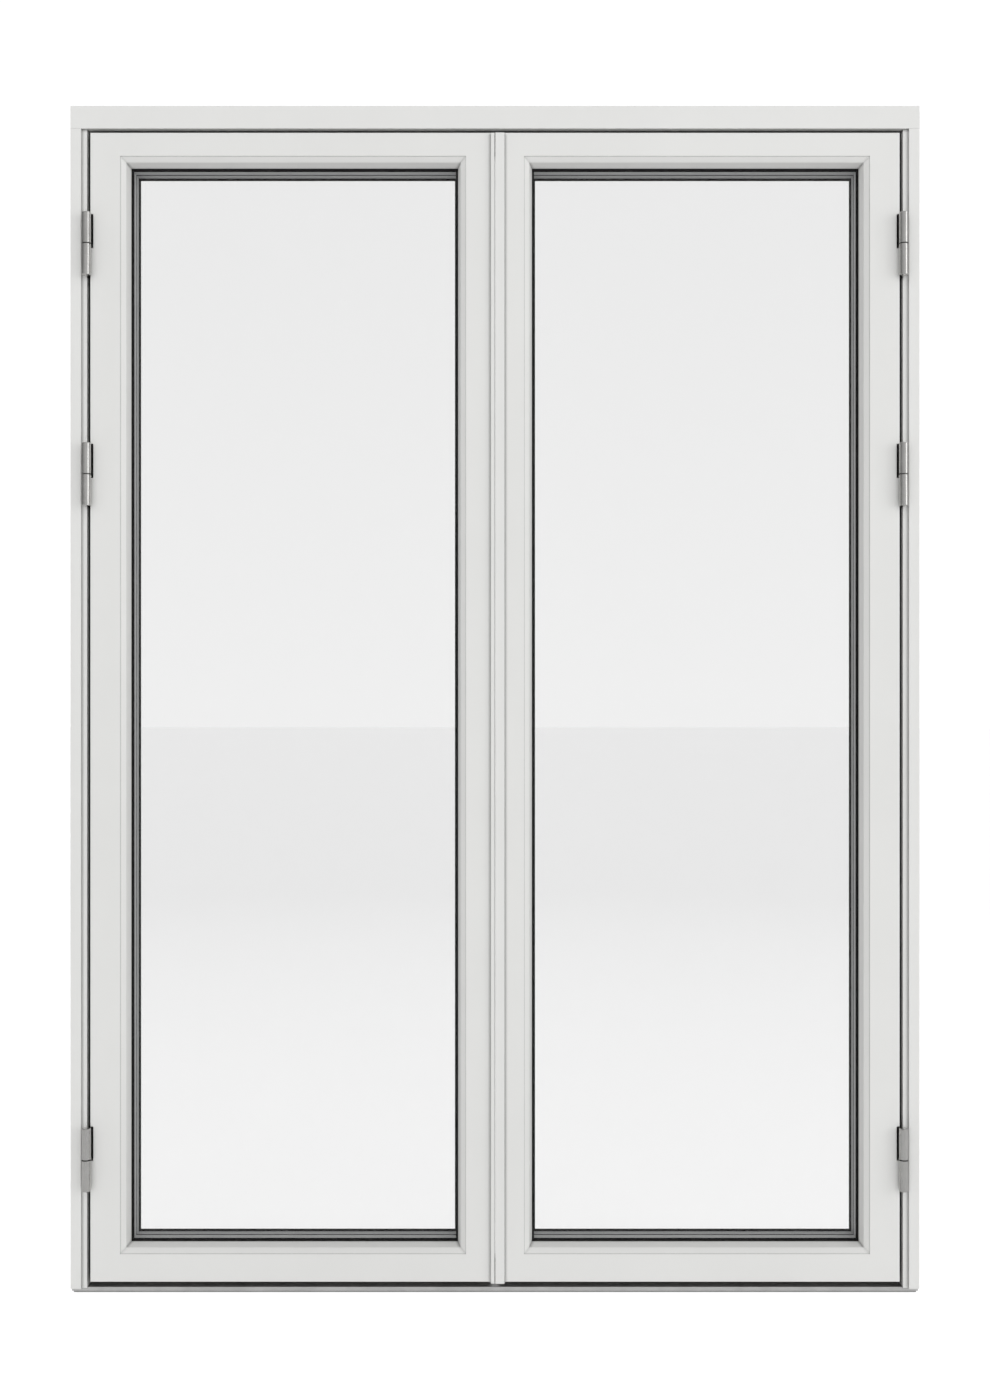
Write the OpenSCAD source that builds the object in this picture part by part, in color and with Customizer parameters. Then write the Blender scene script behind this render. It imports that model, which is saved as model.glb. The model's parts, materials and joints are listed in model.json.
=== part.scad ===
// A pair of glazed balcony doors in their frame, without the wall.
// Timber leaves and frame with powder-coated aluminium outside, opening outwards.
// X runs to the right as seen from outside, Y from outside to inside and Z up.
// The origin is on the underside of the threshold, in the middle of its length and of the frame's depth.

/* [Frame] */
// Width of the frame
frame_w = 1490; // [1190:10:1790]
// Height of the frame
frame_h = 2090; // [1740:10:2510]
// Width of the flat outside face of each jamb
jamb_face = 18.6; // [14:0.1:60]
// Width of the lower strip between that face and the leaf
strip_w = 9.3; // [6:0.1:20]
// How far the strip lies behind the face
strip_set_back = 5; // [3:0.5:8]
// Height of the outside face of the head
head_face = 39.8; // [25:0.1:80]
// How far the inside stop laps over the timber edge of a leaf
stop_lap = 10; // [8:0.5:13]
// Depth of the inside stop
stop_t = 24; // [15:1:60]
// Radius of the holes for the frame's fixing screws
fixing_r = 5; // [3:0.5:6]
// Distance from an end of a jamb's side of the frame to its first fixing hole
fixing_from_end = 205; // [100:5:400]

/* [Threshold] */
// Height of the threshold's top face
sill_h = 14; // [12:0.5:24]
// Height of the lip below its nose
sill_lip_h = 6.8; // [4:0.1:8]
// How far the nose lies behind the frame's outside face
nose_set_back = 10.4; // [4:0.1:14]
// How far the lip lies behind the frame's outside face
lip_set_back = 24; // [18:0.5:30]

/* [Leaves] */
// Gap between a leaf and the jamb
side_gap = 7; // [5:0.5:9]
// Gap between a leaf and the head
head_gap = 7.4; // [5:0.1:9]
// Gap between a leaf and the threshold
sill_gap = 12.5; // [8:0.5:16]
// Gap between the outside faces of the two leaves
meeting_gap = 5; // [4:0.5:8]
// Width of the flat outside face beside the hinges
hinge_face = 52.5; // [45:0.5:90]
// Width of the flat outside face where the leaves meet
meeting_face = 48.7; // [45:0.5:90]
// Height of the flat outside face at the top
top_face = 40.9; // [38:0.1:120]
// Height of the flat outside face at the bottom
bottom_face = 48.8; // [38:0.1:240]
// Clearance of each free edge as its leaf swings past the other
swing_clearance = 1.2; // [0.6:0.1:3]

/* [Cladding] */
// Thickness of the aluminium
clad_t = 2; // [1.5:0.1:2.4]
// Depth of its edges in the gap around a leaf
clad_return = 13; // [9:0.5:18]
// Air space between the cladding of a leaf and its timber
clad_air = 6; // [4:0.5:8]
// Gap between a leaf's timber edge and the outside of its cladding
edge_inset = 2.4; // [2.1:0.1:4]
// Depth of the sharp step where the glazing slope starts
quirk = 1.5; // [0.5:0.1:2]
// Width of the first, flatter slope down to the glass
slope_w = 9.1; // [6:0.1:12]
// Depth at the end of the first slope
slope_d = 7.5; // [5:0.1:10]
// Width of both slopes
slope_total_w = 14.4; // [12:0.1:16]
// Depth at the end of the second, steeper slope
slope_total_d = 26; // [22:0.5:28]

/* [Glazing] */
// Thickness of a pane
pane_t = 4; // [4:0.5:6]
// Space between two panes
pane_space = 16; // [12:1:16]
// Thickness of the seals on both faces of the glass unit
seal_t = 2; // [1.5:0.1:2.5]
// Clearance between the glass unit and the timber around it
glass_clearance = 3; // [2:0.5:5]
// Height of the sealant around the spacer bars
sealant_h = 8; // [5:0.5:9]
// Height of the spacer bars
spacer_h = 7; // [6:0.5:8]
// Width of the timber lip that holds the glass unit from inside
glass_lip = 17; // [12:0.5:20]
// Thickness of that lip
glass_lip_t = 13; // [9:0.5:20]

/* [Meeting strips] */
// Width of the narrow strip on the left leaf
narrow_strip_w = 7.15; // [5:0.05:12]
// Width of the wide strip on the right leaf
wide_strip_w = 16.45; // [12:0.05:30]
// How far the narrow strip stands out of the leaf
narrow_strip_t = 7; // [4:0.1:9]
// How far the wide strip stands out of the leaf
wide_strip_t = 8.2; // [4:0.1:9]
// Gap between the two strips
strip_gap = 0.5; // [0.4:0.1:2]
// How far the strips end below the top of the leaf
strip_top_gap = 2.4; // [0:0.1:10]

/* [Hinges] */
// Height of a hinge
hinge_h = 110; // [90:1:130]
// Radius of its knuckle
knuckle_r = 8; // [7:0.5:9]
// How far its axis stands in front of the frame
hinge_out = 12; // [11:0.5:16]
// Distance from the hinge axis to the jamb's side of the gap
hinge_axis_in = 2.8; // [2:0.1:3.5]
// Thickness of its two plates
plate_t = 2.5; // [2:0.1:2.6]
// Radius of the hinge pin
pin_r = 5; // [4:0.5:5]
// Clearance between the pin and the bore that turns on it
pin_clearance = 0.05; // [0.02:0.01:0.09]
// Height of the gap between the two knuckles of a hinge
knuckle_gap = 2; // [0.6:0.1:3]
// Height of the middle of the bottom hinge
bottom_hinge_z = 244; // [200:1:400]
// Distance from the top of the frame down to the middle of the top hinge
top_hinge_drop = 245; // [200:1:400]
// Distance from the top hinge down to the middle one
middle_hinge_drop = 403; // [250:1:800]

/* [Lock] */
// Height of the handle's spindle
handle_z = 1050; // [900:5:1150]
// Length of the handle's grip
grip_l = 112; // [90:1:130]
// Radius of the handle
grip_r = 9; // [7:0.5:10]
// Travel of each bolt
bolt_travel = 22; // [18:1:24]
// Width of the bolts and rods
bolt_w = 12; // [10:0.5:14]
// Thickness of the bolts and rods
bolt_t = 4; // [3:0.5:4.5]
// Length of the two bolts in the left leaf
flush_bolt_l = 250; // [150:10:300]

/* [Hidden] */
$fn = 48;
left = -1;
right = 1;
cut = 1;

// Frame: distances from its outer sides, and depths behind its outside face
jamb_total = jamb_face + strip_w;
jamb_x = frame_w / 2 - jamb_total;
jamb_back = strip_set_back + clad_return;
head_z = frame_h - head_face;
vent = 3;
fixing_pitch = (frame_h - 2 * fixing_from_end) / 3;

// Leaf: its cladding's outside edges, for the right leaf
leaf_x0 = meeting_gap / 2;
leaf_x1 = jamb_x - side_gap;
leaf_z0 = sill_h + sill_gap;
leaf_z1 = head_z - head_gap;
timber_x1 = leaf_x1 - edge_inset;
timber_z0 = leaf_z0 + edge_inset;
timber_z1 = leaf_z1 - edge_inset;
timber_d = clad_t + clad_air;

// Sight lines: the inner edges of the flat outside faces, where the slopes to the glass start
sight_x0 = leaf_x0 + meeting_face;
sight_x1 = leaf_x1 - hinge_face;
sight_z0 = leaf_z0 + bottom_face;
sight_z1 = leaf_z1 - top_face;
sight_w = sight_x1 - sight_x0;
sight_h = sight_z1 - sight_z0;

// The four sides of a leaf in turn: bottom, hinge side, top, meeting side
bottom = 0;
hinge_side = 1;
top = 2;
meeting_side = 3;
faces = [bottom_face, hinge_face, top_face, meeting_face];
sight_corners = [[sight_x0, sight_z0], [sight_x1, sight_z0], [sight_x1, sight_z1], [sight_x0, sight_z1]];

// Depths through the glass unit, the leaf and the frame
glass_d = slope_total_d + seal_t;
glass_back_d = glass_d + 3 * pane_t + 2 * pane_space;
lip_d = glass_back_d + seal_t + 1;
lip_bevel = 3;
leaf_d = lip_d + glass_lip_t;
stop_d = leaf_d + 3;
frame_d = stop_d + stop_t;

// Inside stops around the leaves
stop_x = timber_x1 - stop_lap;
stop_z1 = timber_z1 - stop_lap;
stop_z0 = timber_z0 + stop_lap;

// Hinges
hinge_x = jamb_x - hinge_axis_in;
hinge_zs = [
    bottom_hinge_z,
    frame_h - top_hinge_drop - middle_hinge_drop,
    frame_h - top_hinge_drop
];
plate_d = 58;
plate_end = 1;
knuckle_h = (hinge_h - knuckle_gap) / 2;
pin_floor = 8;
pin_up = hinge_h / 2 - 12;
notch_w = 5.2;
notch_up = hinge_h / 2;
notch_down = 5;
notch_d = 30;

// Free edges: cut back further at the inside, so that each leaf swings clear of the other
free_edge_x0 = leaf_x0 + 1;
free_edge_x1 = pow(leaf_d + hinge_out, 2) / (2 * hinge_x) + swing_clearance;
function free_edge_x(d) = free_edge_x0 + (free_edge_x1 - free_edge_x0) * (d - timber_d) / (leaf_d - timber_d);

// Kerf in each free edge for the seal between the leaves
kerf_mid_d = 17;
kerf_w = 1.6;
kerf_depth = 4;
kerf_edge_x = free_edge_x(kerf_mid_d - kerf_w);
bulb_x0 = 1;

// Lock and bolts: the groove in the free edge, from its front to its back
groove_d0 = 42;
groove_w = 16;
groove_d1 = groove_d0 + groove_w;
groove_mid_d = (groove_d0 + groove_d1) / 2;
plate_play = 0.1;
faceplate_t = 2.5;
faceplate_x = free_edge_x(groove_d1) + 0.2;
bolt_play = 0.4;
bolt_x = faceplate_x + faceplate_t + bolt_play;
groove_x = bolt_x + bolt_t + bolt_play;
case_play = 0.5;
case_x1 = sight_x0 - 4;
case_h = 150;
spindle_x = (free_edge_x1 + sight_x0 + glass_lip - lip_bevel) / 2;
spindle_w = 8;
spindle_hole_r = 6.5;
bolt_set_in = 2;
flush_groove_l = flush_bolt_l + 70;
tab_z = timber_z1 - bolt_set_in - flush_bolt_l + 10;
tab_h = 12;
tab_half_w = 4;
pocket_clear = 2;
keep_t = 2;
keep_clear = 0.8;
keep_margin = 2;
keep_end = 16;
rose_t = 8;
rose_clearance = 0.08;
rose_w = 32;
rose_h = 72;
neck_l = 38;
elbow_r = 15;

timber = [0.93, 0.93, 0.91];
white_metal = [0.88, 0.88, 0.87];
black_rubber = [0.08, 0.08, 0.08];
steel = [0.72, 0.72, 0.73];
grey_metal = [0.66, 0.67, 0.68];
clear_glass = [0.8, 0.88, 0.88, 0.4];
spacer_grey = [0.6, 0.6, 0.6];

// Puts what is modelled by depth behind the frame's outside face at its place in the frame
module at_depth() {
    translate([0, -frame_d / 2, 0])
        children();
}

// Puts what is modelled for the right-hand side at its place on either side
module on_side(side) {
    at_depth()
        mirror([side == left ? 1 : 0, 0, 0])
            children();
}

// A box between two opposite corners
module block(low, high) {
    translate(low)
        cube(high - low);
}

// A bar along X whose section is a list of [depth, height] points
module bar_x(x0, x1, section) {
    translate([x0, 0, 0])
        rotate([90, 0, 90])
            linear_extrude(x1 - x0)
                polygon(section);
}

// A bar along Z whose section is a list of [x, depth] points
module bar_z(z0, z1, section) {
    translate([0, 0, z0])
        linear_extrude(z1 - z0)
            polygon(section);
}

// Turns a bar that is modelled along the bottom sight line onto one of the leaf's four sides
module along_sight(side) {
    corner = sight_corners[side];
    translate([corner[0], 0, corner[1]])
        rotate([0, -90 * side, 0])
            children();
}

// One side of a ring around the glass, mitred at its ends.
// Its section is a list of [depth, distance in from the sight line] points.
module mitred_bar(side, section) {
    length = side % 2 == 0 ? sight_w : sight_h;
    own = faces[side];
    before = faces[(side + 3) % 4];
    after = faces[(side + 1) % 4];
    reach = 25;
    along_sight(side)
        intersection() {
            bar_x(-before, length + after, section);
            translate([0, leaf_d, 0])
                rotate([90, 0, 0])
                    linear_extrude(leaf_d + cut)
                        polygon([
                            [-before, -own], [length + after, -own], [length, 0],
                            [length - reach, reach], [reach, reach], [0, 0]
                        ]);
        }
}

// A ring around the glass, between two distances in from the sight line and two depths
module sight_ring(in0, in1, d0, d1) {
    difference() {
        block([sight_x0 + in0, d0, sight_z0 + in0], [sight_x1 - in0, d1, sight_z1 - in0]);
        block([sight_x0 + in1, d0 - cut, sight_z0 + in1], [sight_x1 - in1, d1 + cut, sight_z1 - in1]);
    }
}

// ---- Frame ----

module frame_head() {
    under_clad = head_z + clad_t;
    color(timber)
        at_depth()
            difference() {
                union() {
                    bar_x(-frame_w / 2 + clad_t, frame_w / 2 - clad_t, [
                        [strip_set_back + clad_t, under_clad],
                        [clad_return + vent, under_clad],
                        [clad_return + vent, frame_h - clad_t],
                        [strip_set_back + clad_t, frame_h - clad_t]
                    ]);
                    block([-frame_w / 2, clad_return + vent, head_z], [frame_w / 2, frame_d, frame_h]);
                    block([-stop_x, stop_d, stop_z1], [stop_x, frame_d, head_z + cut]);
                }
                for (side = [left, right])
                    keep_pocket(side, head_z - cut, timber_z1 - bolt_set_in + bolt_travel + pocket_clear);
            }
}

module jamb(side) {
    in0 = frame_w / 2;
    color(timber)
        on_side(side)
            difference() {
                bar_z(sill_h, head_z, [
                    [in0 - clad_t, strip_set_back + clad_t], [jamb_x + clad_t, strip_set_back + clad_t],
                    [jamb_x + clad_t, jamb_back + vent], [jamb_x, jamb_back + vent],
                    [jamb_x, stop_d], [stop_x, stop_d], [stop_x, frame_d], [in0, frame_d],
                    [in0, jamb_back + vent], [in0 - clad_t, jamb_back + vent]
                ]);
                for (i = [0:3])
                    translate([jamb_x - cut, frame_d / 2, fixing_from_end + i * fixing_pitch])
                        rotate([0, 90, 0])
                            cylinder(h = jamb_total + 2 * cut, r = fixing_r);
            }
}

module head_cladding() {
    color(white_metal)
        at_depth()
            difference() {
                block([-frame_w / 2, 0, head_z], [frame_w / 2, clad_return, frame_h]);
                block([-frame_w / 2 + clad_t, clad_t, head_z + clad_t],
                      [frame_w / 2 - clad_t, clad_return + cut, frame_h - clad_t]);
            }
}

module jamb_cladding(side) {
    in0 = frame_w / 2;
    face_in = in0 - jamb_face;
    color(white_metal)
        on_side(side)
            bar_z(sill_h, head_z, [
                [in0, 0], [face_in, 0], [face_in, strip_set_back], [jamb_x, strip_set_back],
                [jamb_x, jamb_back], [jamb_x + clad_t, jamb_back], [jamb_x + clad_t, strip_set_back + clad_t],
                [face_in + clad_t, strip_set_back + clad_t], [face_in + clad_t, clad_t],
                [in0 - clad_t, clad_t], [in0 - clad_t, jamb_back], [in0, jamb_back]
            ]);
}

module threshold_cover() {
    top_in = sill_h - clad_t;
    color(grey_metal)
        at_depth()
            difference() {
                bar_x(-frame_w / 2, frame_w / 2, [
                    [lip_set_back, 0], [lip_set_back, sill_lip_h], [nose_set_back, sill_lip_h],
                    [nose_set_back, sill_h], [stop_d, sill_h], [stop_d, top_in],
                    [nose_set_back + clad_t, top_in], [nose_set_back + clad_t, sill_lip_h + clad_t],
                    [lip_set_back + clad_t, sill_lip_h + clad_t], [lip_set_back + clad_t, 0]
                ]);
                for (side = [left, right])
                    keep_pocket(side, top_in - cut, sill_h + cut);
            }
}

module threshold_core() {
    core_d = lip_set_back + clad_t;
    color(timber)
        at_depth()
            difference() {
                union() {
                    block([-frame_w / 2, core_d, 0], [frame_w / 2, frame_d, sill_h - clad_t]);
                    block([-frame_w / 2, stop_d, 0], [frame_w / 2, frame_d, sill_h]);
                    block([-stop_x, stop_d, 0], [stop_x, frame_d, stop_z0]);
                }
                for (side = [left, right])
                    keep_pocket(side, timber_z0 + bolt_set_in - bolt_travel - pocket_clear, sill_h + cut);
            }
}

// The seal on the inside stops that the closed leaves press against
module frame_seal() {
    seal_in = 2;
    seal_w = 6;
    seal_gap = 0.3;
    color(black_rubber)
        at_depth()
            difference() {
                block([-stop_x - seal_in - seal_w, leaf_d + seal_gap, stop_z0 - seal_in - seal_w],
                      [stop_x + seal_in + seal_w, stop_d, stop_z1 + seal_in + seal_w]);
                block([-stop_x - seal_in, leaf_d, stop_z0 - seal_in],
                      [stop_x + seal_in, stop_d + cut, stop_z1 + seal_in]);
            }
}

// ---- Keeps ----

// The pocket that one bolt runs into
module keep_pocket(side, z0, z1) {
    mirror([side == left ? 1 : 0, 0, 0])
        block([bolt_x - keep_clear, groove_mid_d - bolt_w / 2 - keep_clear, z0],
              [bolt_x + bolt_t + keep_clear, groove_mid_d + bolt_w / 2 + keep_clear, z1]);
}

// One plate under the head and one on the threshold, each with a slot for either leaf's bolt
module bolt_keeps() {
    plate_x = bolt_x + bolt_t + keep_end;
    color(steel)
        at_depth()
            for (z0 = [head_z - keep_t, sill_h])
                difference() {
                    block([-plate_x, groove_d0 - keep_margin, z0],
                          [plate_x, groove_d1 + keep_margin, z0 + keep_t]);
                    for (side = [left, right])
                        keep_pocket(side, z0 - cut, z0 + keep_t + cut);
                }
}

// ---- Hinges ----

// The lower knuckle, fixed to the jamb by a plate in the gap beside the leaf
module frame_hinges(side) {
    color(steel)
        on_side(side)
            for (z = hinge_zs)
                difference() {
                    union() {
                        translate([hinge_x, -hinge_out, z - hinge_h / 2])
                            knuckle(knuckle_h, -1);
                        block([jamb_x - plate_t, -hinge_out, z - hinge_h / 2 + plate_end],
                              [jamb_x, plate_d, z - knuckle_gap / 2]);
                    }
                    translate([hinge_x, -hinge_out, z - hinge_h / 2 + pin_floor])
                        cylinder(h = knuckle_h, r = pin_r);
                }
}

// The upper knuckle, fixed to the leaf by a plate through the notch in its cladding
module leaf_hinges(side) {
    plate_z1 = knuckle_gap / 2 + knuckle_h - plate_end;
    color(steel)
        on_side(side)
            for (z = hinge_zs)
                difference() {
                    union() {
                        translate([hinge_x, -hinge_out, z + knuckle_gap / 2])
                            knuckle(knuckle_h, 1);
                        block([timber_x1, -hinge_out, z + knuckle_gap / 2],
                              [timber_x1 + plate_t, cut, z + plate_z1]);
                        block([timber_x1, 0, z + plate_end - notch_down],
                              [timber_x1 + plate_t, plate_d, z + plate_z1]);
                    }
                    translate([hinge_x, -hinge_out, z - cut])
                        cylinder(h = cut + pin_up + 2, r = pin_r + pin_clearance);
                }
}

// A turned knuckle with a bevelled outer end: up for 1, down for -1
module knuckle(h, end) {
    bevel = 0.8;
    points = [[0, 0], [knuckle_r, 0], [knuckle_r, h - bevel], [knuckle_r - bevel, h], [0, h]];
    translate([0, 0, end < 0 ? h : 0])
        mirror([0, 0, end < 0 ? 1 : 0])
            rotate_extrude()
                polygon(points);
}

module hinge_pins() {
    color(steel)
        for (side = [left, right])
            on_side(side)
                for (z = hinge_zs)
                    translate([hinge_x, -hinge_out, z - hinge_h / 2 + pin_floor])
                        cylinder(h = hinge_h / 2 - pin_floor + pin_up, r = pin_r);
}

// ---- Leaf timber ----

module stile_blank(side_of_leaf) {
    if (side_of_leaf == hinge_side)
        bar_z(timber_z0, timber_z1, [
            [timber_x1, timber_d], [sight_x1, timber_d], [sight_x1, lip_d],
            [sight_x1 - glass_lip, lip_d], [sight_x1 - glass_lip + lip_bevel, leaf_d], [timber_x1, leaf_d]
        ]);
    else
        bar_z(timber_z0, timber_z1, [
            [free_edge_x0, timber_d], [sight_x0, timber_d], [sight_x0, lip_d],
            [sight_x0 + glass_lip, lip_d], [sight_x0 + glass_lip - lip_bevel, leaf_d], [free_edge_x1, leaf_d]
        ]);
}

// The two tenons of a rail, grown by a clearance where they are cut out of the stiles
module tenons(z0, z1, clearance) {
    length = 35;
    thickness = 14;
    shoulder = 8;
    d0 = groove_d1 + 2;
    block([sight_x0 - length - clearance, d0 - clearance, z0 + shoulder - clearance],
          [sight_x0 + cut, d0 + thickness + clearance, z1 - shoulder + clearance]);
    block([sight_x1 - cut, d0 - clearance, z0 + shoulder - clearance],
          [sight_x1 + length + clearance, d0 + thickness + clearance, z1 - shoulder + clearance]);
}

module both_mortises() {
    clearance = 0.1;
    tenons(timber_z0, sight_z0, clearance);
    tenons(sight_z1, timber_z1, clearance);
}

module hinge_stile(side) {
    color(timber)
        on_side(side)
            difference() {
                stile_blank(hinge_side);
                both_mortises();
                for (z = hinge_zs)
                    block([leaf_x1 - notch_w, timber_d - cut, z - notch_down],
                          [timber_x1 + cut, notch_d, z + notch_up]);
            }
}

module meeting_stile(side) {
    color(timber)
        on_side(side)
            difference() {
                stile_blank(meeting_side);
                both_mortises();
                block([0, kerf_mid_d - kerf_w / 2, timber_z0 - cut],
                      [kerf_edge_x + kerf_depth, kerf_mid_d + kerf_w / 2, timber_z1 + cut]);
                if (side == right) {
                    edge_groove(timber_z0 - cut, timber_z1 + cut);
                    block([groove_x - cut, groove_d0, handle_z - case_h / 2 - case_play],
                          [case_x1 + case_play, groove_d1, handle_z + case_h / 2 + case_play]);
                    translate([spindle_x, groove_mid_d, handle_z])
                        rotate([-90, 0, 0])
                            cylinder(h = leaf_d, r = spindle_hole_r);
                }
                if (side == left) {
                    edge_groove(timber_z0 - cut, timber_z0 + flush_groove_l);
                    edge_groove(timber_z1 - flush_groove_l, timber_z1 + cut);
                }
            }
}

module edge_groove(z0, z1) {
    block([0, groove_d0, z0], [groove_x, groove_d1, z1]);
}

module top_rail(side) {
    color(timber)
        on_side(side)
            rail(sight_z1, timber_z1, [
                [timber_d, sight_z1], [lip_d, sight_z1], [lip_d, sight_z1 - glass_lip],
                [leaf_d, sight_z1 - glass_lip + lip_bevel], [leaf_d, timber_z1], [timber_d, timber_z1]
            ]);
}

module bottom_rail(side) {
    color(timber)
        on_side(side)
            rail(timber_z0, sight_z0, [
                [timber_d, sight_z0], [lip_d, sight_z0], [lip_d, sight_z0 + glass_lip],
                [leaf_d, sight_z0 + glass_lip - lip_bevel], [leaf_d, timber_z0], [timber_d, timber_z0]
            ]);
}

// A rail between the stiles, with its ends cut to the stiles' shape and a tenon at each end
module rail(z0, z1, section) {
    difference() {
        bar_x(sight_x0, sight_x1, section);
        stile_blank(hinge_side);
        stile_blank(meeting_side);
    }
    tenons(z0, z1, 0);
}

// ---- Leaf cladding ----

// Section across one side: flat face, step, two slopes, a foot that rests on the timber, and an edge
function cladding_section(face, edge_d) =
    let (
        back = [0.7 * clad_t, -clad_t],
        foot = -face / 2,
        step = [quirk, 0],
        start = [quirk, 1],
        knee = [slope_d, slope_w],
        end = [slope_total_d, slope_total_w]
    )
    [
        [0, -face], [0, 0], step, start, knee, end,
        [slope_total_d, slope_total_w - clad_t], knee + back, start + back,
        [clad_t, foot + clad_t / 2], [timber_d, foot + clad_t / 2],
        [timber_d, foot - clad_t / 2], [clad_t, foot - clad_t / 2],
        [clad_t, clad_t - face], [edge_d, clad_t - face], [edge_d, -face]
    ];

module leaf_cladding(side, side_of_leaf) {
    edge_d = side_of_leaf == meeting_side ? timber_d : clad_return;
    color(white_metal)
        on_side(side)
            difference() {
                mitred_bar(side_of_leaf, cladding_section(faces[side_of_leaf], edge_d));
                if (side_of_leaf == hinge_side)
                    for (z = hinge_zs)
                        block([leaf_x1 - notch_w, -cut, z - notch_down],
                              [leaf_x1 + cut, clad_return + cut, z + notch_up]);
            }
}

// ---- Glazing ----

module outer_glazing_seal(side) {
    under = 4;
    lip = 2.6;
    proud = 0.4;
    color(black_rubber)
        on_side(side)
            for (side_of_leaf = [bottom, hinge_side, top, meeting_side])
                mitred_bar(side_of_leaf, [
                    [slope_total_d, slope_total_w - under], [slope_total_d, slope_total_w],
                    [slope_total_d - proud, slope_total_w],
                    [slope_total_d - proud, slope_total_w + lip - 2 * proud],
                    [slope_total_d + proud, slope_total_w + lip], [glass_d, slope_total_w + lip],
                    [glass_d, slope_total_w - under]
                ]);
}

module inner_glazing_seal(side) {
    under = 4;
    lip = 3.8;
    color(black_rubber)
        on_side(side)
            sight_ring(glass_lip - under, glass_lip + lip, glass_back_d, lip_d);
}

module pane(side, index) {
    d0 = glass_d + index * (pane_t + pane_space);
    color(clear_glass)
        on_side(side)
            block([sight_x0 + glass_clearance, d0, sight_z0 + glass_clearance],
                  [sight_x1 - glass_clearance, d0 + pane_t, sight_z1 - glass_clearance]);
}

// A ring in each of the two spaces between the panes
module ring_in_spaces(in0, in1) {
    for (index = [0, 1]) {
        d0 = glass_d + pane_t + index * (pane_t + pane_space);
        sight_ring(in0, in1, d0, d0 + pane_space);
    }
}

module spacer_bars(side) {
    in0 = glass_clearance + sealant_h;
    color(spacer_grey)
        on_side(side)
            ring_in_spaces(in0, in0 + spacer_h);
}

module edge_sealant(side) {
    color(black_rubber)
        on_side(side)
            ring_in_spaces(glass_clearance, glass_clearance + sealant_h);
}

module setting_blocks(side) {
    length = 100;
    color(black_rubber)
        on_side(side)
            for (side_of_leaf = [bottom, hinge_side, top, meeting_side])
                along_sight(side_of_leaf)
                    for (part = [0.2, 0.8]) {
                        x = part * (side_of_leaf % 2 == 0 ? sight_w : sight_h);
                        block([x - length / 2, glass_d, 0], [x + length / 2, glass_back_d, glass_clearance]);
                    }
}

// ---- Where the leaves meet ----

module meeting_strip(side) {
    width = side == left ? narrow_strip_w : wide_strip_w;
    thickness = side == left ? narrow_strip_t : wide_strip_t;
    x0 = strip_gap / 2;
    bevel = 0.8;
    below_leaf = 0.6;
    color(white_metal)
        on_side(side)
            bar_z(leaf_z0 - below_leaf, leaf_z1 - strip_top_gap, [
                [x0, 0], [x0, bevel - thickness], [x0 + bevel, -thickness],
                [x0 + width - bevel, -thickness], [x0 + width, bevel - thickness], [x0 + width, 0]
            ]);
}

// A soft bulb seal on each free edge, held by its stem in a kerf in front of the bolts
module meeting_seal(side) {
    bulb_r = (kerf_edge_x - bulb_x0) / 2;
    stem_end = 0.2;
    color(black_rubber)
        on_side(side)
            translate([0, 0, timber_z0])
                linear_extrude(timber_z1 - timber_z0)
                    union() {
                        translate([bulb_x0 + bulb_r, kerf_mid_d])
                            circle(bulb_r);
                        translate([bulb_x0 + bulb_r, kerf_mid_d - kerf_w / 2])
                            square([bulb_r + kerf_depth - stem_end, kerf_w]);
                    }
}

// ---- Bolts of the left leaf ----

// A flat bolt with a thumb tab that stands out through the slot in its plate
module flush_bolt(up) {
    z_end = timber_z1 - bolt_set_in;
    tab_out = 2;
    color(steel)
        on_side(left)
            about_leaf_middle(up) {
                block([bolt_x, groove_mid_d - bolt_w / 2, z_end - flush_bolt_l],
                      [bolt_x + bolt_t, groove_mid_d + bolt_w / 2, z_end]);
                block([faceplate_x - tab_out, groove_mid_d - tab_half_w, tab_z],
                      [bolt_x + cut, groove_mid_d + tab_half_w, tab_z + tab_h]);
            }
}

// Keeps what is modelled at the leaf's top there, or turns it over to the bottom
module about_leaf_middle(up) {
    middle = (timber_z0 + timber_z1) / 2;
    translate([0, 0, middle])
        mirror([0, 0, up ? 0 : 1])
            translate([0, 0, -middle])
                children();
}

module flush_bolt_plates() {
    slot_half_w = tab_half_w + 0.6;
    color(steel)
        on_side(left)
            for (up = [true, false])
                about_leaf_middle(up)
                    difference() {
                        block([faceplate_x, groove_d0 + plate_play, timber_z1 - flush_groove_l + plate_play],
                              [faceplate_x + faceplate_t, groove_d1 - plate_play, timber_z1]);
                        block([faceplate_x - cut, groove_mid_d - slot_half_w, tab_z - cut],
                              [faceplate_x + faceplate_t + cut, groove_mid_d + slot_half_w,
                               tab_z + tab_h + bolt_travel + cut]);
                    }
}

// ---- Lock of the right leaf ----

module lock_faceplate() {
    color(steel)
        on_side(right)
            block([faceplate_x, groove_d0 + plate_play, timber_z0],
                  [faceplate_x + faceplate_t, groove_d1 - plate_play, timber_z1]);
}

module lock_case() {
    color(steel)
        on_side(right)
            difference() {
                block([groove_x + case_play, groove_d0 + case_play, handle_z - case_h / 2],
                      [case_x1, groove_d1 - case_play, handle_z + case_h / 2]);
                translate([spindle_x, 0, handle_z])
                    rotate([-90, 0, 0])
                        cylinder(h = leaf_d, r = spindle_hole_r);
            }
}

module lock_rod(up) {
    z_end = timber_z1 - bolt_set_in;
    z_low = timber_z0 + bolt_set_in;
    gap = 10;
    z0 = up ? handle_z + gap : z_low;
    z1 = up ? z_end : handle_z - gap;
    color(steel)
        on_side(right)
            block([bolt_x, groove_mid_d - bolt_w / 2, z0], [bolt_x + bolt_t, groove_mid_d + bolt_w / 2, z1]);
}

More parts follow.
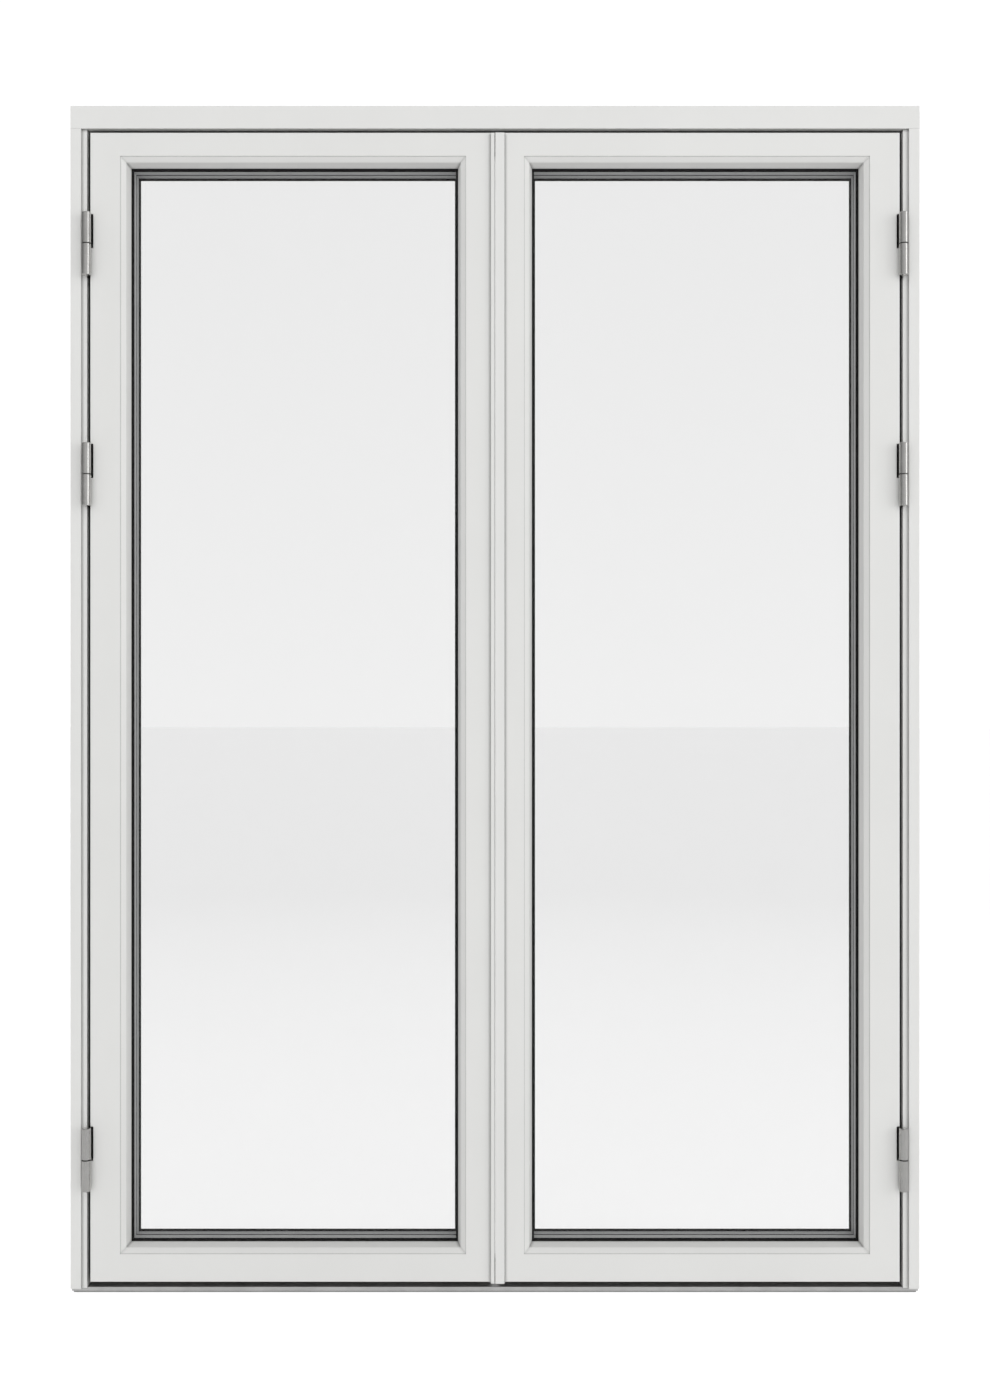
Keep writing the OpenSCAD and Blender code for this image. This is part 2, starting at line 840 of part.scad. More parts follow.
// An oblong plate on the inside face, which the handle turns in
module handle_rose() {
    color(steel)
        on_side(right)
            translate([spindle_x, leaf_d, handle_z])
                rotate([-90, 0, 0])
                    difference() {
                        union() {
                            for (z = [-1, 1])
                                translate([0, z * (rose_h - rose_w) / 2, 0])
                                    cylinder(h = rose_t, r = rose_w / 2);
                            translate([-rose_w / 2, -(rose_h - rose_w) / 2, 0])
                                cube([rose_w, rose_h - rose_w, rose_t]);
                        }
                        translate([0, 0, -cut])
                            cylinder(h = rose_t + 2 * cut, r = grip_r + rose_clearance);
                    }
}

// The lever and its square spindle: the lever points up when the bolts are drawn back
module handle() {
    neck_d = leaf_d + rose_t;
    color(steel)
        on_side(right)
            translate([spindle_x, 0, handle_z])
                rotate([0, -90, 0]) {
                    block([-spindle_w / 2, groove_d0 + 2, -spindle_w / 2], [spindle_w / 2, neck_d, spindle_w / 2]);
                    translate([0, leaf_d + 1, 0])
                        rotate([-90, 0, 0])
                            cylinder(h = neck_l - 1, r = grip_r);
                    translate([elbow_r, leaf_d + neck_l, 0])
                        rotate([0, 0, 90])
                            rotate_extrude(angle = 90)
                                translate([elbow_r, 0])
                                    circle(grip_r);
                    translate([elbow_r, leaf_d + neck_l + elbow_r, 0])
                        rotate([0, 90, 0])
                            cylinder(h = grip_l, r = grip_r);
                    translate([elbow_r + grip_l, leaf_d + neck_l + elbow_r, 0])
                        sphere(grip_r);
                }
}

frame_head();
jamb(left);  // left_jamb
jamb(right);  // right_jamb
threshold_core();
threshold_cover();
head_cladding();
jamb_cladding(left);  // left_jamb_cladding
jamb_cladding(right);  // right_jamb_cladding
frame_seal();
frame_hinges(left);  // left_frame_hinges
frame_hinges(right);  // right_frame_hinges
hinge_pins();
bolt_keeps();
hinge_stile(left);  // left_hinge_stile
meeting_stile(left);  // left_meeting_stile
top_rail(left);  // left_top_rail
bottom_rail(left);  // left_bottom_rail
leaf_cladding(left, hinge_side);  // left_hinge_side_cladding
leaf_cladding(left, meeting_side);  // left_meeting_side_cladding
leaf_cladding(left, top);  // left_top_cladding
leaf_cladding(left, bottom);  // left_bottom_cladding
outer_glazing_seal(left);  // left_outer_glazing_seal
inner_glazing_seal(left);  // left_inner_glazing_seal
pane(left, 0);  // left_outer_pane
pane(left, 1);  // left_middle_pane
pane(left, 2);  // left_inner_pane
spacer_bars(left);  // left_spacer_bars
edge_sealant(left);  // left_edge_sealant
setting_blocks(left);  // left_setting_blocks
leaf_hinges(left);  // left_leaf_hinges
meeting_strip(left);  // left_meeting_strip
meeting_seal(left);  // left_meeting_seal
flush_bolt(true);  // upper_flush_bolt
flush_bolt(false);  // lower_flush_bolt
flush_bolt_plates();
hinge_stile(right);  // right_hinge_stile
meeting_stile(right);  // right_meeting_stile
top_rail(right);  // right_top_rail
bottom_rail(right);  // right_bottom_rail
leaf_cladding(right, hinge_side);  // right_hinge_side_cladding
leaf_cladding(right, meeting_side);  // right_meeting_side_cladding
leaf_cladding(right, top);  // right_top_cladding
leaf_cladding(right, bottom);  // right_bottom_cladding
outer_glazing_seal(right);  // right_outer_glazing_seal
inner_glazing_seal(right);  // right_inner_glazing_seal
pane(right, 0);  // right_outer_pane
pane(right, 1);  // right_middle_pane
pane(right, 2);  // right_inner_pane
spacer_bars(right);  // right_spacer_bars
edge_sealant(right);  // right_edge_sealant
setting_blocks(right);  // right_setting_blocks
leaf_hinges(right);  // right_leaf_hinges
meeting_strip(right);  // right_meeting_strip
meeting_seal(right);  // right_meeting_seal
lock_faceplate();
lock_case();
lock_rod(true);  // upper_lock_rod
lock_rod(false);  // lower_lock_rod
handle();
handle_rose();
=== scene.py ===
"""Looks for a pair of glazed balcony doors: finishes, rounded edges, screws, lever, glass and a plain studio.

It is laid out as an add-on and run as a script. Everything is in metres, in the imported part's frame:
X to the right as seen from outside, Y from outside to inside, Z up.
"""

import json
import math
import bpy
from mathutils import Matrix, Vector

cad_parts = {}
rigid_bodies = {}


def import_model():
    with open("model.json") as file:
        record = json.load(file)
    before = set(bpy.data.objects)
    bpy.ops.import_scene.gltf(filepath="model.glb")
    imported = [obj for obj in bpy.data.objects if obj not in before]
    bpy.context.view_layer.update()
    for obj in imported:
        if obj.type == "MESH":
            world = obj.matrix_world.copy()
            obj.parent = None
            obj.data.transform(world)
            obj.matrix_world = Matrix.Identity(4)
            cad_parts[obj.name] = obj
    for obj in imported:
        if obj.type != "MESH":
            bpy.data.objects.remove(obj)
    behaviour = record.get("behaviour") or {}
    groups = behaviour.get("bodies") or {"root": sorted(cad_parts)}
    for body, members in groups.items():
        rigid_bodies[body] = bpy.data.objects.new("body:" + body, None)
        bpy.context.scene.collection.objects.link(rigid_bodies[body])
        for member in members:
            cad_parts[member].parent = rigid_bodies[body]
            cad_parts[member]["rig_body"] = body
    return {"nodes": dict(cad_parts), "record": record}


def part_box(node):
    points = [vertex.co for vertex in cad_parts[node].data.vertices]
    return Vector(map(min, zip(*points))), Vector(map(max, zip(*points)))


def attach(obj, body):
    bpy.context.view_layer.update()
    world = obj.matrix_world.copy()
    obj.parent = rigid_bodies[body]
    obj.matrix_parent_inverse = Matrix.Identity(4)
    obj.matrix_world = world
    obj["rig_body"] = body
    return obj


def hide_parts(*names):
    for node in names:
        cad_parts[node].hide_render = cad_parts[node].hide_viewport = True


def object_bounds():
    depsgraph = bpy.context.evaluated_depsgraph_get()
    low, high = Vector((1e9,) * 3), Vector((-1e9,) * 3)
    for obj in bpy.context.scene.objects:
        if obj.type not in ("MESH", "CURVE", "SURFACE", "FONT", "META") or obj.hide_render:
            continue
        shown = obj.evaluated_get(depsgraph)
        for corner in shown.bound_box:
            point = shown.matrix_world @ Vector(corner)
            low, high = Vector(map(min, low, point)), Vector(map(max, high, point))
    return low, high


bl_info = {
    "name": "Glazed Balcony Doors",
    "version": (1, 0, 0),
    "blender": (4, 5, 0),
    "location": "3D View > Sidebar > Doors",
    "description": "Finishes and details for a pair of glazed balcony doors in their frame",
    "category": "Object",
}

import bmesh
import bpy
from bpy.props import FloatProperty, FloatVectorProperty, PointerProperty
from mathutils import Matrix, Vector

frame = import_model()
CAD_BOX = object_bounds()

MM = 0.001
SIDES = {"left": -1, "right": 1}
FINISHES_MADE = {}
# From one spacer bar to the next: a pane and the space behind it
SPACER_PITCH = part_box("left_middle_pane")[0].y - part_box("left_outer_pane")[0].y
# How far the screws stand from the ends of what they hold
SCREW_FROM_END = {"keep": 7 * MM, "faceplate": 9 * MM, "rose": 9 * MM, "hinge": 10 * MM}
HINGE_SCREW_PITCH = 16 * MM
# How high up a hinge plate its screws stand, in a zigzag from its far end
HINGE_SCREW_HEIGHTS = (0.72, 0.28, 0.72)
# Which way the ends of the knuckles look where leaf and frame part
PARTING = {"leaf": -1, "frame": 1}
LEVER_INSIDE_ROSE = 6 * MM
SPINDLE_WIDTH = 8 * MM
# Soft box of the studio's key light, in metres
KEY_SIZE = (3.8, 5)
KEY_PLACE = (7.8, -4.5, 2.6)


# ---- Colours and nodes ----


def linear(hex_colour):
    """An sRGB hex colour as linear light."""
    parts = [int(hex_colour[i : i + 2], 16) / 255 for i in (1, 3, 5)]
    return tuple(c / 12.92 if c <= 0.04045 else ((c + 0.055) / 1.055) ** 2.4 for c in parts)


def add_node(tree, kind, settings=None, inputs=None):
    """Adds a shader node. Settings are its properties; an input is given a value or linked from a socket."""
    made = tree.nodes.new("ShaderNode" + kind)
    for name, value in (settings or {}).items():
        setattr(made, name, value)
    for name, value in (inputs or {}).items():
        if isinstance(value, bpy.types.NodeSocket):
            tree.links.new(value, made.inputs[name])
        else:
            made.inputs[name].default_value = value
    return made


def new_material(name, **shader_values):
    """A new material with one Principled shader. Returns the material, its tree and the shader."""
    material = bpy.data.materials.new(name)
    material.use_nodes = True
    tree = material.node_tree
    shader = tree.nodes["Principled BSDF"]
    for socket, value in shader_values.items():
        shader.inputs[socket.replace("_", " ")].default_value = value
    return material, tree, shader


def object_place(tree, scale=(1, 1, 1)):
    """Object coordinates, stretched by a scale along each axis."""
    coordinates = add_node(tree, "TexCoord").outputs["Object"]
    return add_node(tree, "Mapping", inputs={"Vector": coordinates, "Scale": scale}).outputs["Vector"]


def noise(tree, place, pattern_size, detail=2.0, roughness=0.5):
    """A noise whose patches are about pattern_size metres across."""
    inputs = {"Vector": place, "Scale": 1 / pattern_size, "Detail": detail, "Roughness": roughness}
    return add_node(tree, "TexNoise", inputs=inputs).outputs["Fac"]


def between(tree, factor, low, high):
    """Maps a 0 to 1 factor onto a range of numbers."""
    return add_node(tree, "MapRange", inputs={"Value": factor, "To Min": low, "To Max": high}).outputs["Result"]


def tones(tree, factor, dark, light, spread=(0.3, 0.7)):
    """A colour between two tones, by a factor."""
    ramp = add_node(tree, "ValToRGB", inputs={"Fac": factor})
    for element, place, tone in zip(ramp.color_ramp.elements, spread, (dark, light)):
        element.position = place
        element.color = (*tone, 1)
    return ramp.outputs["Color"]


def shade(colour, amount):
    """A tone that much lighter or darker than a colour."""
    return tuple(max(0.0, min(1.0, c * amount)) for c in colour)


def painted_corner_shade(tree, clean, colour, reach, shade_steepness):
    """A colour with painted shade: darker in joints and inner corners, where other surfaces hem it in within a
    reach in metres.
    """
    open_air = add_node(tree, "AmbientOcclusion", {"samples": 8}, {"Distance": reach}).outputs["AO"]
    amount = add_node(tree, "Math", {"operation": "POWER"}, {0: open_air, 1: shade_steepness}).outputs[0]
    # Painted shade: the most hemmed-in corners go down to 15 % of the colour
    mix = add_node(tree, "Mix", {"data_type": "RGBA"}, {0: amount, 6: (*shade(colour, 0.15), 1), 7: clean})
    return mix.outputs[2]


# ---- Materials ----


def powder_coat(colour):
    """Polyester powder coat on extruded aluminium, baked on: an even satin white with a faint orange peel."""
    material, tree, shader = new_material("white_powder_coated_aluminium", Specular_IOR_Level=0.5, IOR=1.5)
    place = object_place(tree)
    # Slow drifts of tone over 200 mm, too weak to read as dirt
    drift = noise(tree, place, 0.2, detail=3)
    # Orange peel has waves of 1 to 2 mm
    peel = noise(tree, place, 1.6 * MM, detail=1)
    even = tones(tree, drift, shade(colour, 0.985), shade(colour, 1.01))
    # Painted shade: the coat darkens along steps and in inner corners within 6 mm
    tree.links.new(painted_corner_shade(tree, even, colour, 6 * MM, 1.2), shader.inputs["Base Color"])
    tree.links.new(between(tree, peel, 0.34, 0.44), shader.inputs["Roughness"])
    bump = add_node(tree, "Bump", inputs={"Strength": 0.25, "Distance": 0.02 * MM, "Height": peel})
    tree.links.new(bump.outputs["Normal"], shader.inputs["Normal"])
    return material


def painted_pine(colour, along):
    """Spray-painted pine: a smooth white film in which the grain still shows as fine lines along each piece."""
    name = f"white_painted_pine_along_{along.lower()}"
    material, tree, shader = new_material(name, Specular_IOR_Level=0.45, IOR=1.5)
    stretch = {"X": (0.03, 1, 1), "Z": (1, 1, 0.03)}[along]
    # Growth rings of pine lie 1 to 4 mm apart
    grain = noise(tree, object_place(tree, stretch), 2.5 * MM, detail=3, roughness=0.6)
    spray = noise(tree, object_place(tree), 0.8 * MM, detail=1)
    drift = noise(tree, object_place(tree), 0.15, detail=2)
    even = tones(tree, drift, shade(colour, 0.975), shade(colour, 1.01))
    # Painted shade: the paint darkens in joints, gaps and inner corners within 20 mm
    tree.links.new(painted_corner_shade(tree, even, colour, 20 * MM, 1.6), shader.inputs["Base Color"])
    tree.links.new(between(tree, grain, 0.38, 0.52), shader.inputs["Roughness"])
    fine = add_node(tree, "Bump", inputs={"Strength": 0.2, "Distance": 0.02 * MM, "Height": spray})
    inputs = {"Strength": 0.5, "Distance": 0.05 * MM, "Height": grain, "Normal": fine.outputs["Normal"]}
    tree.links.new(add_node(tree, "Bump", inputs=inputs).outputs["Normal"], shader.inputs["Normal"])
    return material


def brushed_metal(name, colour, roughness, along, line_width, depth):
    """Metal with fine lines along one axis, which spread its highlights across them."""
    material, tree, shader = new_material(name, Metallic=1.0)
    stretch = {"X": (0.01, 1, 1), "Z": (1, 1, 0.01)}[along]
    lines = noise(tree, object_place(tree, stretch), line_width, detail=3, roughness=0.6)
    # Handling marks and uneven plating, some 30 mm across
    marks = noise(tree, object_place(tree), 0.03, detail=4)
    even = tones(tree, marks, shade(colour, 0.92), shade(colour, 1.06))
    # Painted shade: the metal darkens in inner corners within 4 mm
    tree.links.new(painted_corner_shade(tree, even, colour, 4 * MM, 2), shader.inputs["Base Color"])
    tree.links.new(between(tree, lines, roughness - 0.07, roughness + 0.07), shader.inputs["Roughness"])
    bump = add_node(tree, "Bump", inputs={"Strength": 0.4, "Distance": depth, "Height": lines})
    tree.links.new(bump.outputs["Normal"], shader.inputs["Normal"])
    return material


def extruded_rubber(colour):
    """Extruded EPDM rubber: deep black and matt, with a dry grey bloom in patches."""
    material, tree, shader = new_material("black_epdm_rubber", Specular_IOR_Level=0.2, IOR=1.5)
    bloom = noise(tree, object_place(tree), 0.012, detail=4)
    skin = noise(tree, object_place(tree), 0.4 * MM, detail=2)
    tree.links.new(tones(tree, bloom, shade(colour, 0.8), shade(colour, 1.5)), shader.inputs["Base Color"])
    tree.links.new(between(tree, skin, 0.55, 0.75), shader.inputs["Roughness"])
    bump = add_node(tree, "Bump", inputs={"Strength": 0.3, "Distance": 0.03 * MM, "Height": skin})
    tree.links.new(bump.outputs["Normal"], shader.inputs["Normal"])
    return material


def moulded_plastic(name, colour):
    """Injection-moulded plastic with a fine spark-eroded grain."""
    material, tree, shader = new_material(name, Specular_IOR_Level=0.5, IOR=1.46)
    grain = noise(tree, object_place(tree), 0.5 * MM, detail=2)
    tree.links.new(tones(tree, grain, shade(colour, 0.95), shade(colour, 1.05)), shader.inputs["Base Color"])
    tree.links.new(between(tree, grain, 0.4, 0.55), shader.inputs["Roughness"])
    bump = add_node(tree, "Bump", inputs={"Strength": 0.3, "Distance": 0.02 * MM, "Height": grain})
    tree.links.new(bump.outputs["Normal"], shader.inputs["Normal"])
    return material


def spacer_middle():
    """How deep the middle of the outer spacer bar lies."""
    low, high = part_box("left_spacer_bars")
    return low.y + (high.y - low.y - SPACER_PITCH) / 2


def perforated_spacer(colour):
    """Warm-edge spacer: matt grey with a row of vents, and black butyl on the sides that meet the panes."""
    material, tree, shader = new_material("grey_warm_edge_spacer", Specular_IOR_Level=0.4, IOR=1.5)
    coordinates = add_node(tree, "TexCoord")
    place = add_node(tree, "SeparateXYZ", inputs={"Vector": coordinates.outputs["Object"]})
    # X plus Z runs on along every bar of the ring, so one row serves all four
    along = add_node(tree, "Math", {"operation": "ADD"}, {0: place.outputs["X"], 1: place.outputs["Z"]})
    # The bars' middles lie one pane and one bar apart, and the vents 6 mm
    across = add_node(tree, "Math", {"operation": "SUBTRACT"}, {0: place.outputs["Y"], 1: spacer_middle()})
    steps = []
    for distance, pitch in ((along, 6 * MM), (across, SPACER_PITCH)):
        steps.append(add_node(tree, "Math", {"operation": "PINGPONG"}, {0: distance.outputs[0], 1: pitch / 2}))
    point = add_node(tree, "CombineXYZ", inputs={"X": steps[0].outputs[0], "Y": steps[1].outputs[0]})
    off = add_node(tree, "VectorMath", {"operation": "LENGTH"}, {0: point.outputs[0]})
    hole = add_node(tree, "Math", {"operation": "LESS_THAN"}, {0: off.outputs["Value"], 1: 0.45 * MM})
    grain = noise(tree, object_place(tree), 1.2 * MM, detail=2)
    face = tones(tree, grain, shade(colour, 0.92), shade(colour, 1.06))
    # Painted shade: each vent is only drawn, as a dark dot for the shade inside a hole
    inputs = {0: hole.outputs[0], 6: face, 7: (*shade(colour, 0.3), 1)}
    vented = add_node(tree, "Mix", {"data_type": "RGBA"}, inputs)
    normal = add_node(tree, "SeparateXYZ", inputs={"Vector": coordinates.outputs["Normal"]})
    turned = add_node(tree, "Math", {"operation": "ABSOLUTE"}, {0: normal.outputs["Y"]})
    side = add_node(tree, "Math", {"operation": "GREATER_THAN"}, {0: turned.outputs[0], 1: 0.9})
    butyl = (*shade(colour, 0.02), 1)
    mix = add_node(tree, "Mix", {"data_type": "RGBA"}, {0: side.outputs[0], 6: vented.outputs[2], 7: butyl})
    tree.links.new(mix.outputs[2], shader.inputs["Base Color"])
    tree.links.new(between(tree, grain, 0.45, 0.6), shader.inputs["Roughness"])
    return material


def clear_float_glass(tint):
    """Clear float glass with thin coats: it mirrors a little and takes a trace of the light."""
    material = bpy.data.materials.new("clear_float_glass")
    material.use_nodes = True
    tree = material.node_tree
    tree.nodes.remove(tree.nodes["Principled BSDF"])
    through = add_node(tree, "BsdfTransparent", inputs={"Color": (*tint, 1)})
    mirror = add_node(tree, "BsdfGlossy", inputs={"Color": (1, 1, 1, 1), "Roughness": 0.0})
    # Rays aren't bent, so a pane's far face takes the inverse index and mirrors as much as its near face
    behind = add_node(tree, "NewGeometry").outputs["Backfacing"]
    bare = add_node(tree, "Fresnel", inputs={"IOR": between(tree, behind, 1.52, 1 / 1.52)})
    # A coat against reflections leaves a quarter of what bare glass mirrors
    share = add_node(tree, "Math", {"operation": "MULTIPLY"}, {0: bare.outputs[0], 1: 0.25})
    inputs = {0: share.outputs[0], 1: through.outputs[0], 2: mirror.outputs[0]}
    mix = add_node(tree, "MixShader", inputs=inputs)
    tree.links.new(mix.outputs[0], tree.nodes["Material Output"].inputs["Surface"])
    return material


def studio_paper(colour, light, glow, near_glow):
    """Matt pale paper that the doors stand on. It gives off light of its own, which lights the doors evenly
    from below, and glows brighter still to the camera.
    """
    material, tree, shader = new_material("studio_paper", Roughness=0.9, Specular_IOR_Level=0.1)
    fibres = noise(tree, object_place(tree), 0.5, detail=3)
    tree.links.new(tones(tree, fibres, shade(colour, 0.99), colour), shader.inputs["Base Color"])
    shader.inputs["Emission Color"].default_value = (1, 1, 1, 1)
    away = add_node(tree, "VectorMath", {"operation": "LENGTH"}, {0: object_place(tree)}).outputs["Value"]
    # Painted light: close to the doors the glow is brighter, and it fades to its even level 6 m from them
    inputs = {"Value": away, "From Max": 6, "To Min": glow + near_glow, "To Max": glow}
    near = add_node(tree, "MapRange", inputs=inputs)
    path = add_node(tree, "LightPath").outputs["Is Camera Ray"]
    strength = add_node(tree, "Mix", inputs={0: path, 2: light, 3: near.outputs["Result"]}).outputs[0]
    tree.links.new(strength, shader.inputs["Emission Strength"])
    return material


def finish(name):
    """The material of that kind, made once."""
    looks = bpy.context.scene.door_finishes
    makers = {
        "coat": lambda: powder_coat(looks.coat),
        "paint_x": lambda: painted_pine(looks.paint, "X"),
        "paint_z": lambda: painted_pine(looks.paint, "Z"),
        "anodised": lambda: brushed_metal("anodised_aluminium", looks.anodised, 0.42, "X", 0.6 * MM, 0.01 * MM),
        "plated": lambda: brushed_metal("satin_zinc_plated_steel", looks.steel, 0.27, "Z", 0.5 * MM, 0.01 * MM),
        "handle": lambda: brushed_metal("satin_stainless_steel", looks.handle, 0.3, "X", 0.4 * MM, 0.008 * MM),
        "rubber": lambda: extruded_rubber(looks.rubber),
        "nylon": lambda: moulded_plastic("black_nylon", looks.nylon),
        "cap": lambda: moulded_plastic("white_moulded_plastic", looks.cap),
        "spacer": lambda: perforated_spacer(looks.spacer),
        "glass": lambda: clear_float_glass(looks.glass),
    }
    if name not in FINISHES_MADE:
        FINISHES_MADE[name] = makers[name]()
    return FINISHES_MADE[name]


# ---- Shapes ----


def merged_copy(node):
    """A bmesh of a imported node, with its loose triangles merged into whole flat faces."""
    shape = bmesh.new()
    shape.from_mesh(frame["nodes"][node].data)
    bmesh.ops.remove_doubles(shape, verts=shape.verts, dist=0.002 * MM)
    bmesh.ops.dissolve_limit(shape, angle_limit=math.radians(0.4), verts=shape.verts, edges=shape.edges)
    return shape


def outer_edges(shape, least_angle, along=None):
    """The convex edges sharper than an angle in degrees, or only those that run along one axis."""
    found = []
    for edge in shape.edges:
        if len(edge.link_faces) != 2 or not edge.is_convex:
            continue
        run = edge.verts[1].co - edge.verts[0].co
        if edge.calc_face_angle(0) > math.radians(least_angle):
            if along is None or abs(run["XYZ".index(along)]) > 0.999 * run.length:
                found.append(edge)
    return found


def round_edges(shape, edges, radius, segments):
    """Rounds edges with a bevel of that radius."""
    bmesh.ops.bevel(
        shape,
        geom=edges,
        offset=radius,
        offset_type="OFFSET",
        segments=segments,
        profile=0.5,
        affect="EDGES",
        clamp_overlap=True,
        material=-1,
    )


def piece_from(shape, name, material, body, replaces=()):
    """Makes a bmesh a finished piece that rides on a body."""
    for face in shape.faces:
        face.smooth = True
    for edge in shape.edges:
        edge.smooth = len(edge.link_faces) == 2 and edge.calc_face_angle(0) < math.radians(35)
    mesh = bpy.data.meshes.new(name)
    shape.to_mesh(mesh)
    shape.free()
    mesh.materials.append(material)
    piece = bpy.data.objects.new(name, mesh)
    bpy.context.scene.collection.objects.link(piece)
    normals = piece.modifiers.new("Weighted normals", "WEIGHTED_NORMAL")
    normals.keep_sharp = True
    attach(piece, body)
    if replaces:
        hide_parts(*replaces)
    return piece


def rounded_node(node, material, radius, along=None, segments=3, least_angle=30):
    """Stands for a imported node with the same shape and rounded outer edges."""
    shape = merged_copy(node)
    round_edges(shape, outer_edges(shape, least_angle, along), radius, segments)
    low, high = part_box(node)
    for vert in shape.verts:
        if any(vert.co[i] < low[i] - 0.01 * MM or vert.co[i] > high[i] + 0.01 * MM for i in range(3)):
            raise ValueError(f"the rounding of {node} leaves its box; try a smaller radius")
    body = frame["nodes"][node]["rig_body"]
    return piece_from(shape, node + "_rounded", material, body, (node,))


def dress(node, material):
    """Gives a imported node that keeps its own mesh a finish."""
    thing = frame["nodes"][node]
    if not thing.material_slots:
        thing.data.materials.append(material)
    for slot in thing.material_slots:
        slot.material = material


def faces_towards(node, normal):
    """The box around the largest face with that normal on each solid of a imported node, from the lowest up."""
    shape = merged_copy(node)
    waiting, boxes = set(shape.faces), []
    while waiting:
        solid, rim = [], [waiting.pop()]
        while rim:
            face = rim.pop()
            solid.append(face)
            for other in {f for edge in face.edges for f in edge.link_faces} & waiting:
                waiting.remove(other)
                rim.append(other)
        facing = [face for face in solid if face.normal.dot(Vector(normal)) > 0.999]
        largest = max(facing, key=lambda face: face.calc_area())
        places = [vert.co for vert in largest.verts]
        low = Vector([min(place[i] for place in places) for i in range(3)])
        high = Vector([max(place[i] for place in places) for i in range(3)])
        boxes.append((low, high))
    shape.free()
    return sorted(boxes, key=lambda box: box[0].z)


def turned_to(normal, place):
    """The matrix that stands a shape made along Z on a surface with that normal."""
    turn = Vector(normal).to_track_quat("Z", "Y").to_matrix().to_4x4()
    return Matrix.Translation(place) @ turn


def disc(shape, radius, top_radius, height, segments=32):
    """A low round disc on the ground plane. Returns its top face."""
    made = bmesh.ops.create_cone(
        shape, cap_ends=True, segments=segments, radius1=radius, radius2=top_radius, depth=height
    )["verts"]
    bmesh.ops.translate(shape, verts=made, vec=(0, 0, height / 2))
    faces = {face for vert in made for face in vert.link_faces}
    return max(faces, key=lambda face: face.calc_center_median().z)


def screws(name, places, normal, body):
    """Low screw heads with six-lobed recesses, as one piece. Places are points on the surface."""
    sizes = bpy.context.scene.door_sizes
    radius = sizes.screw_radius
    shape = bmesh.new()
    for place in places:
        others = set(shape.verts)
        top = disc(shape, radius, radius * 0.86, sizes.screw_height)
        bmesh.ops.inset_region(shape, faces=[top], thickness=radius * 0.4, use_even_offset=True)
        for vert in top.verts:
            lobes = 1 + 0.16 * math.cos(6 * math.atan2(vert.co.y, vert.co.x))
            vert.co.xy *= lobes
        bmesh.ops.inset_region(shape, faces=[top], thickness=radius * 0.05, depth=-0.7 * sizes.screw_height)
        made = [vert for vert in shape.verts if vert not in others]
        bmesh.ops.transform(shape, matrix=turned_to(normal, place), verts=made)
    return piece_from(shape, name, finish("plated"), body)


# ---- Settings ----


def colour(name, description, hex_colour):
    """A colour that the user can change, shown as sRGB."""
    return FloatVectorProperty(
        name=name, description=description, subtype="COLOR", size=3, min=0, max=1, default=linear(hex_colour)
    )


def length(name, description, millimetres, most=50):
    """A length that the user can change."""
    return FloatProperty(
        name=name,
        description=description,
        default=millimetres * MM,
        min=0,
        max=most * MM,
        unit="LENGTH",
        precision=5,
    )


class DoorFinishes(bpy.types.PropertyGroup):
    """Colours of the doors' finishes."""

    coat: colour("Powder coat", "Colour of the aluminium outside", "#E9E9E7")
    paint: colour("Paint", "Colour of the painted timber", "#ECEBE9")
    anodised: colour("Anodised aluminium", "Colour of the threshold's cover", "#DCDCDB")
    steel: colour("Plated steel", "Colour of the hinges, bolts and screws", "#C2C1BF")
    handle: colour("Stainless steel", "Colour of the handle", "#B9B8B5")
    rubber: colour("Rubber", "Colour of the seals", "#141414")
    nylon: colour("Nylon", "Colour of the washers and packers", "#1C1C1D")
    cap: colour("Caps", "Colour of the caps over the frame's screws", "#E4E4E0")
    spacer: colour("Spacer", "Colour of the bars between the panes", "#B4B5B5")
    glass: colour("Glass tint", "What one face of a pane lets through", "#FBFBFB")


class DoorSizes(bpy.types.PropertyGroup):
    """Sizes of the details added to the doors."""

    coat_radius: length("Cladding edge", "Radius of the cladding's outer edges", 0.7)
    strip_radius: length("Strip edge", "Radius of the meeting strips' edges", 0.35)
    timber_radius: length("Timber edge", "Radius of the timber's edges", 1.5)
    steel_radius: length("Steel edge", "Radius of the bolts' and plates' edges", 0.35)
    hinge_radius: length("Hinge edge", "Radius of the hinges' edges", 0.8)
    seal_radius: length("Seal edge", "Radius of the seals' lips", 0.5)
    rose_radius: length("Rose edge", "Radius of the rose's edge", 1.2)
    elbow_radius: length("Elbow", "Radius of the lever's bend, on its middle line", 15)
    screw_radius: length("Screw head", "Radius of a screw head", 3.2)
    screw_height: length("Screw height", "Height of a screw head", 0.5)
    cap_radius: length("Cap", "Radius of the caps over the frame's screws", 7)
    cap_height: length("Cap height", "Height of the caps over the frame's screws", 1.2)
    washer_radius: length("Washer", "Radius of the washers in the hinges", 7.4)
    washer_hole: length("Washer hole", "Radius of the washers' holes", 5.3)


def level(name, description, default):
    """A brightness or power that the user can change."""
    return FloatProperty(name=name, description=description, default=default, min=0)


